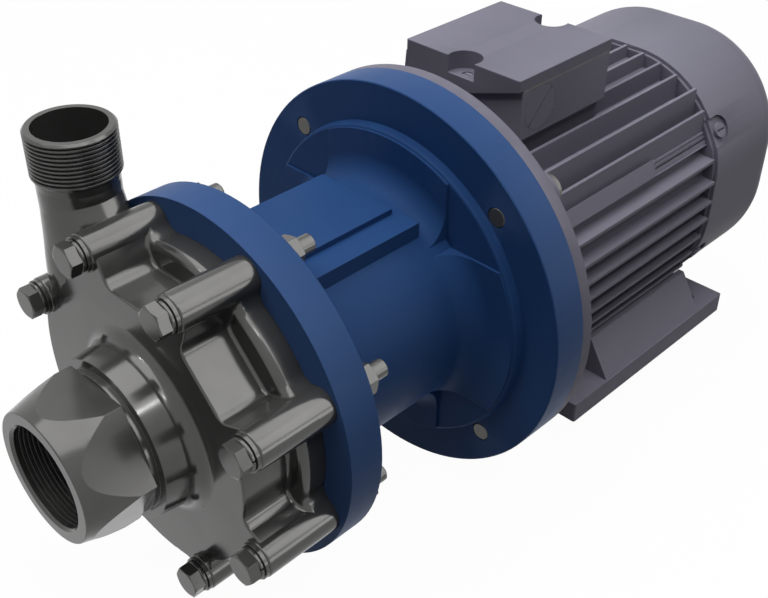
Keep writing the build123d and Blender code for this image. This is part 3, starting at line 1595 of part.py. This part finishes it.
casing_bolts, casing_washers, casing_spring_washers, casing_nuts = casing_fasteners()
flange_bolts, flange_washers = flange_fasteners()
plain_bushes, fixed_thrust_rings = plain_bearings()
impeller_key, rotor_key = pump_keys()
shaft_sleeves, thrust_discs = shaft_stack()
hub_screw, hub_washer = hub_fasteners()
outer_rings, inner_rings, balls, cages = ball_bearings()
o_ring = Pos(0, can_face - o_ring_section_r, 0) * Rot(90, 0, 0) * Torus(o_ring_r, o_ring_section_r)
wear_ring = tube(wear_ring_r, impeller_neck_r + wear_gap, cavity_front - wear_ring_length, cavity_front)
sheath_r = inner_magnet_r + sheath_thickness
sheath = tube(sheath_r, inner_magnet_r, magnet_front - magnet_end_wall, magnet_rear + magnet_end_wall)
rotor_nut = hexagon_head(
    rotor_nut_af, rotor_nut_seat, rotor_nut_seat + rotor_nut_height, rotor_nut_seat + rotor_nut_height
)
rotor_nut -= along_y(Circle(rotor_thread_r), rotor_nut_seat, rotor_nut_seat + rotor_nut_height)

save("pump_casing", pump_casing())
save("casing_bolts", casing_bolts)
save("casing_washers", casing_washers)
save("casing_spring_washers", casing_spring_washers)
save("casing_nuts", casing_nuts)
save("casing_o_ring", o_ring)
save("casing_wear_ring", wear_ring)
save("containment_can", containment_can())
save("bearing_carrier", bearing_carrier())
save("plain_bushes", plain_bushes)
save("fixed_thrust_rings", fixed_thrust_rings)
save("lantern", lantern())
save("flange_bolts", flange_bolts)
save("flange_washers", flange_washers)
save("motor_flange_shield", motor_flange_shield())
save("motor_housing", motor_housing())
save("motor_feet", motor_feet())
save("foot_screws", foot_screws())
save("stator_core", stator_core())
save("stator_windings", stator_windings())
save("bearing_outer_rings", outer_rings)
save("wave_spring", wave_spring())
save("rear_shield", rear_shield())
save("tie_bolts", tie_bolts())
save("fan_cover", fan_cover())
save("fan_cover_screws", fan_cover_screws())
save("terminal_box", terminal_box())
save("box_gasket", box_gasket())
save("box_screws", box_screws())
save("terminal_lid", terminal_lid())
save("lid_gasket", lid_gasket())
save("lid_screws", lid_screws())
save("blind_plugs", blind_plugs())
save("terminal_board", terminal_board())
save("motor_shaft", motor_shaft())
save("shaft_key", shaft_key())
save("rotor_core", rotor_core())
save("rotor_end_rings", rotor_end_rings())
save("bearing_inner_rings", inner_rings)
save("shaft_seals", shaft_seals())
save("fan", fan())
save("fan_circlip", fan_circlip())
save("outer_rotor", outer_rotor())
save("outer_magnets", magnet_ring(outer_magnet_r, outer_magnet_seat_r))
save("hub_screw", hub_screw)
save("hub_washer", hub_washer)
save("pump_shaft", pump_shaft())
save("impeller", impeller())
save("impeller_nut", impeller_nut())
save("impeller_key", impeller_key)
save("rotor_key", rotor_key)
save("shaft_sleeves", shaft_sleeves)
save("thrust_discs", thrust_discs)
save("inner_rotor", inner_rotor())
save("inner_magnets", magnet_ring(inner_magnet_seat_r, inner_magnet_r))
save("magnet_sheath", sheath)
save("rotor_nut", rotor_nut)
save("bearing_balls", balls)
save("ball_cages", cages)
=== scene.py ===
import json

import bpy
from mathutils import Matrix, Vector


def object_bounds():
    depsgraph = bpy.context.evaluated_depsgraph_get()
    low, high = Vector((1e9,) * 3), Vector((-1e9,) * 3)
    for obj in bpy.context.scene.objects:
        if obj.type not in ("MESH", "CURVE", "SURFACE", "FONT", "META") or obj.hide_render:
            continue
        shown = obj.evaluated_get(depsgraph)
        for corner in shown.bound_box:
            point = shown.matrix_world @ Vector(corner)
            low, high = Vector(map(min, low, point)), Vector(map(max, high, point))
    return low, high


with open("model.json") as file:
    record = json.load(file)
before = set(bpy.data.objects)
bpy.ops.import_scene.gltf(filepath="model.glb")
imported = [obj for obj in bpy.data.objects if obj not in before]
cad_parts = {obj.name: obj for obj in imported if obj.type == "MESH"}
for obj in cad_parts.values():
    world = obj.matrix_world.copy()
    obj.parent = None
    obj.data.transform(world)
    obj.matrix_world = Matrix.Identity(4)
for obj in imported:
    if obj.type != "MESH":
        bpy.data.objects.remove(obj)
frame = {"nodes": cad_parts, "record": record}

model_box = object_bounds()

# Camera, solved from the photograph, in metres and pixels of the 768 x 598 frame
IMAGE_W, IMAGE_H = 768, 598
CAMERA_AT = Vector((0.39134, -0.56575, 0.48791))
CAMERA_RIGHT = Vector((0.70711, 0.70711, 0.0))
CAMERA_DOWN = Vector((0.40825, -0.40825, -0.81650))
CAMERA_FORWARD = Vector((-0.57735, 0.57735, -0.57735))
FOCAL_PX = 1125.9
CENTRE_PX = (370.44, 295.95)
SENSOR_MM = 36.0

# Floor: its gap below the part, its white share for the camera, its colour for the light and the camera
FLOOR_GAP = 0.0005
FLOOR_SIZE = 12.0
FLOOR_WHITE_SHARE = 0.97
FLOOR_LIT, FLOOR_SEEN = (0.2, 0.2, 0.2), (1.0, 1.0, 1.0)
FLOOR_ROUGHNESS = 0.9

# Sky: its strength just under the horizon and near the zenith, and the heights where these hold
SKY_LOW, SKY_HIGH = 0.03, 0.15
SKY_LOW_AT, SKY_HIGH_AT = -0.1, 0.9

# Lamps in metres and watts: name, place, aim, size, power
LAMPS = (
    ("top", (-0.1, -0.15, 1.6), (0, -0.1, 0.1), (1.9, 1.9), 27.0),
    ("spark_left", (-0.7, -1.1, 1.5), (0, -0.3, 0.1), (0.08, 0.08), 1.6),
    ("spark_right", (0.9, -0.2, 1.5), (0, -0.1, 0.1), (0.08, 0.08), 1.6),
)

# Reflector cards, which only shiny surfaces see
CARDS = (
    ("card", (1.2, 0.9, 1.35), (0, -0.3, 0.1), (1.5, 1.5), 20.0),
    ("low_card", (1.3, 0.7, 0.2), (0, -0.3, 0.1), (1.6, 0.5), 7.0),
)

# Blasted steel: the share of its skin that reflects as bare metal, and the specular level of the rest
BLASTED_METAL = 0.5
BLASTED_SPECULAR = 0.3
MOTTLE_MM, POLISH_MM = 30.0, 18.0
WAVE_MM, WAVE_DEPTH_MM = 22.0, 0.04

# Paint: the size of its colour drift and of its uneven sheen, its low specular level, and how much lighter
# its colour is along outward edges
DRIFT_MM, SHEEN_MM = 45.0, 8.0
PAINT_SPECULAR = 0.045
EDGE_LIGHTEN_GAIN, EDGE_LIGHTEN_LIFT = 1.15, 0.02

# Other materials: the size of their colour drift and sheen, and how far the roughness swings
SMALL_DRIFT_MM, SMALL_SHEEN_MM = 6.0, 2.0
ROUGHNESS_SWING = 0.15

# Stretch of the noise that is spread over a material's whole range
NOISE_LOW, NOISE_HIGH = 0.3, 0.7
MOTTLE_LOW, MOTTLE_HIGH = 0.35, 0.65

# Screws of the motor that were fitted before it was painted
PAINTED_OVER = {
    "tie_bolts": "grey_paint",
    "fan_cover_screws": "cover_paint",
    "lid_screws": "grey_paint",
}


def new_material(name):
    """A material with a fresh Principled shader: (material, nodes, links, shader)"""
    material = bpy.data.materials.new(name)
    material.use_nodes = True
    nodes, links = material.node_tree.nodes, material.node_tree.links
    return material, nodes, links, nodes["Principled BSDF"]


def surface_point(nodes):
    """The point on the piece, in metres"""
    return nodes.new("ShaderNodeTexCoord").outputs["Object"]


def noise(nodes, links, point, size_mm, detail=4.0, rough=0.55):
    """Noise whose lumps are about that size"""
    texture = nodes.new("ShaderNodeTexNoise")
    texture.inputs["Scale"].default_value = 1000.0 / size_mm
    texture.inputs["Detail"].default_value = detail
    texture.inputs["Roughness"].default_value = rough
    links.new(point, texture.inputs["Vector"])
    return texture.outputs["Fac"]


def ramp(nodes, links, value, low, high, bottom, top):
    """The value's stretch from low to high spread from bottom to top"""
    spread = nodes.new("ShaderNodeMapRange")
    for socket, number in zip(("From Min", "From Max", "To Min", "To Max"), (low, high, bottom, top)):
        spread.inputs[socket].default_value = number
    links.new(value, spread.inputs["Value"])
    return spread.outputs["Result"]


def mixed_colour(nodes, links, factor, first, second):
    """A colour between two by a factor"""
    mix = nodes.new("ShaderNodeMix")
    mix.data_type = "RGBA"
    for socket, colour in ((mix.inputs[6], first), (mix.inputs[7], second)):
        if isinstance(colour, tuple):
            socket.default_value = (*colour, 1)
        else:
            links.new(colour, socket)
    links.new(factor, mix.inputs[0])
    return mix.outputs[2]


def bump(nodes, links, height, depth_mm, strength, below=None):
    """A bump of that depth, on top of another bump where one is given"""
    node = nodes.new("ShaderNodeBump")
    node.inputs["Distance"].default_value = depth_mm / 1000.0
    node.inputs["Strength"].default_value = strength
    links.new(height, node.inputs["Height"])
    if below is not None:
        links.new(below, node.inputs["Normal"])
    return node.outputs["Normal"]


def soft_edges(nodes, radius_mm):
    """The surface's normal with its sharp edges rounded by that radius"""
    node = nodes.new("ShaderNodeBevel")
    node.samples = 4
    node.inputs["Radius"].default_value = radius_mm / 1000.0
    return node.outputs["Normal"]


def outward_edge_mask(nodes, links, low=0.52, high=0.62):
    """One along outward edges and zero elsewhere"""
    geometry = nodes.new("ShaderNodeNewGeometry")
    return ramp(nodes, links, geometry.outputs["Pointiness"], low, high, 0.0, 1.0)


def satin_steel(name, dark, light, rough_low, rough_high, grain_mm, grain_depth, edge_mm):
    """Satin stainless steel with a faintly uneven polish and a fine blasted grain"""
    material, nodes, links, shader = new_material(name)
    point = surface_point(nodes)
    mottle_noise = noise(nodes, links, point, MOTTLE_MM, 4.0, 0.5)
    mottle = ramp(nodes, links, mottle_noise, MOTTLE_LOW, MOTTLE_HIGH, 0, 1)
    links.new(mixed_colour(nodes, links, mottle, dark, light), shader.inputs["Base Color"])
    polish = noise(nodes, links, point, POLISH_MM, 5.0, 0.55)
    roughness = ramp(nodes, links, polish, NOISE_LOW, NOISE_HIGH, rough_low, rough_high)
    links.new(roughness, shader.inputs["Roughness"])
    shader.inputs["Metallic"].default_value = BLASTED_METAL
    shader.inputs["Specular IOR Level"].default_value = BLASTED_SPECULAR
    base = soft_edges(nodes, edge_mm)
    wave_noise = noise(nodes, links, point, WAVE_MM, 2.0, 0.4)
    waves = bump(nodes, links, wave_noise, WAVE_DEPTH_MM, 0.5, base)
    grain_noise = noise(nodes, links, point, grain_mm, 3.0, 0.6)
    links.new(bump(nodes, links, grain_noise, grain_depth, 0.5, waves), shader.inputs["Normal"])
    return material


def paint(name, shade, tint, rough_low, rough_high, peel_mm, peel_depth, edge_mm):
    """Satin paint with orange peel, slight colour drift and a lighter colour along outward edges"""
    material, nodes, links, shader = new_material(name)
    point = surface_point(nodes)
    drift_noise = noise(nodes, links, point, DRIFT_MM, 4.0, 0.6)
    drift = ramp(nodes, links, drift_noise, NOISE_LOW, NOISE_HIGH, 0, 1)
    colour = mixed_colour(nodes, links, drift, shade, tint)
    # Along outward edges the paint colour is made lighter
    lighter_edge_colour = tuple(min(1.0, part * EDGE_LIGHTEN_GAIN + EDGE_LIGHTEN_LIFT) for part in tint)
    edge_lightened_colour = mixed_colour(nodes, links, outward_edge_mask(nodes, links), colour, lighter_edge_colour)
    links.new(edge_lightened_colour, shader.inputs["Base Color"])
    sheen = noise(nodes, links, point, SHEEN_MM, 5.0, 0.6)
    roughness = ramp(nodes, links, sheen, NOISE_LOW, NOISE_HIGH, rough_low, rough_high)
    links.new(roughness, shader.inputs["Roughness"])
    shader.inputs["Specular IOR Level"].default_value = PAINT_SPECULAR
    base = soft_edges(nodes, edge_mm)
    peel_noise = noise(nodes, links, point, peel_mm, 3.0, 0.5)
    links.new(bump(nodes, links, peel_noise, peel_depth, 0.5, base), shader.inputs["Normal"])
    return material


def simple(name, shade, tint, metallic, rough, grain_mm, grain_depth):
    """A plain technical material with a fine grain and slight colour drift"""
    material, nodes, links, shader = new_material(name)
    point = surface_point(nodes)
    drift_noise = noise(nodes, links, point, SMALL_DRIFT_MM)
    drift = ramp(nodes, links, drift_noise, NOISE_LOW, NOISE_HIGH, 0, 1)
    links.new(mixed_colour(nodes, links, drift, shade, tint), shader.inputs["Base Color"])
    sheen = noise(nodes, links, point, SMALL_SHEEN_MM)
    smooth, dull = rough * (1 - ROUGHNESS_SWING), rough * (1 + ROUGHNESS_SWING)
    links.new(ramp(nodes, links, sheen, NOISE_LOW, NOISE_HIGH, smooth, dull), shader.inputs["Roughness"])
    shader.inputs["Metallic"].default_value = metallic
    grain_noise = noise(nodes, links, point, grain_mm)
    links.new(bump(nodes, links, grain_noise, grain_depth, 0.6), shader.inputs["Normal"])
    return material


MATERIALS = {
    "cast_stainless": satin_steel(
        "cast_stainless", (0.092, 0.091, 0.089), (0.108, 0.107, 0.105), 0.14, 0.19, 0.5, 0.002, 0.5
    ),
    "drawn_stainless": satin_steel(
        "drawn_stainless", (0.11, 0.11, 0.11), (0.13, 0.13, 0.13), 0.15, 0.22, 0.3, 0.002, 0.2
    ),
    "stainless_fastener": satin_steel(
        "stainless_fastener", (0.092, 0.091, 0.089), (0.110, 0.109, 0.107), 0.17, 0.24, 0.4, 0.002, 0.3
    ),
    "zinc_fastener": satin_steel(
        "zinc_fastener", (0.10, 0.098, 0.092), (0.12, 0.118, 0.112), 0.38, 0.46, 0.4, 0.004, 0.3
    ),
    "blue_paint": paint(
        "blue_paint", (0.0200, 0.0620, 0.1850), (0.0225, 0.0690, 0.2010), 0.40, 0.46, 1.2, 0.008, 0.6
    ),
    "grey_paint": paint(
        "grey_paint", (0.180, 0.175, 0.222), (0.196, 0.190, 0.240), 0.48, 0.56, 1.0, 0.008, 0.4
    ),
    "cover_paint": paint(
        "cover_paint", (0.185, 0.180, 0.228), (0.202, 0.196, 0.246), 0.44, 0.52, 0.9, 0.006, 0.4
    ),
    "black_rubber": simple("black_rubber", (0.02, 0.02, 0.02), (0.035, 0.035, 0.035), 0.0, 0.6, 0.4, 0.01),
    "ceramic": simple("ceramic", (0.03, 0.03, 0.035), (0.05, 0.05, 0.055), 0.0, 0.25, 0.3, 0.002),
    "lamination": simple("lamination", (0.2, 0.2, 0.21), (0.3, 0.3, 0.32), 1.0, 0.45, 0.5, 0.01),
    "copper_winding": simple("copper_winding", (0.4, 0.14, 0.05), (0.55, 0.22, 0.09), 0.8, 0.4, 0.8, 0.05),
    "bearing_steel": simple("bearing_steel", (0.45, 0.45, 0.46), (0.6, 0.6, 0.62), 1.0, 0.22, 0.3, 0.002),
    "rotor_aluminium": simple("rotor_aluminium", (0.6, 0.6, 0.62), (0.75, 0.75, 0.77), 1.0, 0.4, 0.6, 0.01),
    "cast_bell": simple("cast_bell", (0.1, 0.1, 0.105), (0.18, 0.18, 0.19), 1.0, 0.5, 0.8, 0.02),
    "magnet": simple("magnet", (0.45, 0.45, 0.44), (0.55, 0.55, 0.54), 1.0, 0.25, 0.4, 0.003),
    "cage_brass": simple("cage_brass", (0.5, 0.34, 0.12), (0.65, 0.46, 0.18), 1.0, 0.3, 0.4, 0.005),
    "fan_plastic": simple("fan_plastic", (0.012, 0.012, 0.013), (0.025, 0.025, 0.027), 0.0, 0.5, 0.7, 0.01),
    "board_plastic": simple("board_plastic", (0.06, 0.02, 0.01), (0.09, 0.03, 0.015), 0.0, 0.35, 0.7, 0.01),
    "plug_plastic": paint(
        "plug_plastic", (0.165, 0.160, 0.204), (0.180, 0.174, 0.220), 0.50, 0.58, 1.0, 0.010, 0.3
    ),
}


def dress_nodes():
    """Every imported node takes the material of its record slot, but some screws are painted over"""
    slots = {row["node"]: row["material_slot"] for row in frame["record"]["subparts"]}
    slots.update(PAINTED_OVER)
    for name, piece in frame["nodes"].items():
        piece.data.materials.clear()
        piece.data.materials.append(MATERIALS[slots[name]])


def make_camera():
    """The photograph's camera"""
    data = bpy.data.cameras.new("camera")
    camera = bpy.data.objects.new("camera", data)
    bpy.context.scene.collection.objects.link(camera)
    turn = Matrix((CAMERA_RIGHT, -CAMERA_DOWN, -CAMERA_FORWARD)).transposed()
    camera.matrix_world = Matrix.Translation(CAMERA_AT) @ turn.to_4x4()
    data.sensor_width = SENSOR_MM
    data.lens = SENSOR_MM * FOCAL_PX / IMAGE_W
    data.shift_x = (IMAGE_W / 2 - CENTRE_PX[0]) / IMAGE_W
    data.shift_y = (CENTRE_PX[1] - IMAGE_H / 2) / IMAGE_W
    data.clip_start, data.clip_end = 0.01, 50.0
    bpy.context.scene.camera = camera


def area_light(name, place, target, size, power):
    """A soft rectangular lamp that points at the target"""
    data = bpy.data.lights.new(name, "AREA")
    data.shape = "RECTANGLE"
    data.size, data.size_y = size
    data.energy = power
    lamp = bpy.data.objects.new(name, data)
    lamp.visible_camera = False
    bpy.context.scene.collection.objects.link(lamp)
    aim = (Vector(target) - Vector(place)).to_track_quat("-Z", "Y")
    lamp.matrix_world = Matrix.Translation(place) @ aim.to_matrix().to_4x4()
    return lamp


def plain_view(nodes, links):
    """One for rays from the camera and for those that metal or glass send on, zero for the rest"""
    path = nodes.new("ShaderNodeLightPath")
    share = path.outputs["Is Camera Ray"]
    for kind in ("Is Glossy Ray", "Is Transmission Ray"):
        both = nodes.new("ShaderNodeMath")
        both.operation = "MAXIMUM"
        links.new(share, both.inputs[0])
        links.new(path.outputs[kind], both.inputs[1])
        share = both.outputs[0]
    return share


def make_world():
    """A white backdrop for the camera and a soft sky for the light"""
    world = bpy.data.worlds.new("studio")
    bpy.context.scene.world = world
    world.use_nodes = True
    nodes, links = world.node_tree.nodes, world.node_tree.links
    backdrop = nodes["Background"]
    backdrop.inputs["Color"].default_value = (1, 1, 1, 1)
    backdrop.inputs["Strength"].default_value = 1.0
    sky = nodes.new("ShaderNodeBackground")
    direction = nodes.new("ShaderNodeTexCoord")
    split = nodes.new("ShaderNodeSeparateXYZ")
    links.new(direction.outputs["Generated"], split.inputs["Vector"])
    height = ramp(nodes, links, split.outputs["Z"], SKY_LOW_AT, SKY_HIGH_AT, SKY_LOW, SKY_HIGH)
    links.new(height, sky.inputs["Strength"])
    mix = nodes.new("ShaderNodeMixShader")
    links.new(plain_view(nodes, links), mix.inputs["Fac"])
    links.new(sky.outputs["Background"], mix.inputs[1])
    links.new(backdrop.outputs["Background"], mix.inputs[2])
    links.new(mix.outputs["Shader"], nodes["World Output"].inputs["Surface"])


def make_floor():
    """A plain pale floor that the camera sees as white"""
    mesh = bpy.data.meshes.new("floor")
    half = FLOOR_SIZE / 2
    floor_z = model_box[0].z - FLOOR_GAP
    corners = [(x, y, floor_z) for x, y in ((-half, -half), (half, -half), (half, half), (-half, half))]
    mesh.from_pydata(corners, [], [(0, 1, 2, 3)])
    floor = bpy.data.objects.new("floor", mesh)
    bpy.context.scene.collection.objects.link(floor)
    material, nodes, links, shader = new_material("floor")
    seen = plain_view(nodes, links)
    links.new(mixed_colour(nodes, links, seen, FLOOR_LIT, FLOOR_SEEN), shader.inputs["Base Color"])
    shader.inputs["Roughness"].default_value = FLOOR_ROUGHNESS
    shader.inputs["Specular IOR Level"].default_value = 0.0
    glow = nodes.new("ShaderNodeEmission")
    glow.inputs["Strength"].default_value = 1.0
    mix = nodes.new("ShaderNodeMixShader")
    links.new(ramp(nodes, links, seen, 0, 1, 0, FLOOR_WHITE_SHARE), mix.inputs["Fac"])
    links.new(shader.outputs["BSDF"], mix.inputs[1])
    links.new(glow.outputs["Emission"], mix.inputs[2])
    links.new(mix.outputs["Shader"], nodes["Material Output"].inputs["Surface"])
    mesh.materials.append(material)


make_camera()
make_world()
make_floor()
for lamp_row in LAMPS:
    area_light(*lamp_row)
for card_row in CARDS:
    area_light(*card_row).visible_diffuse = False
dress_nodes()

bpy.context.scene.view_settings.view_transform = "Standard"
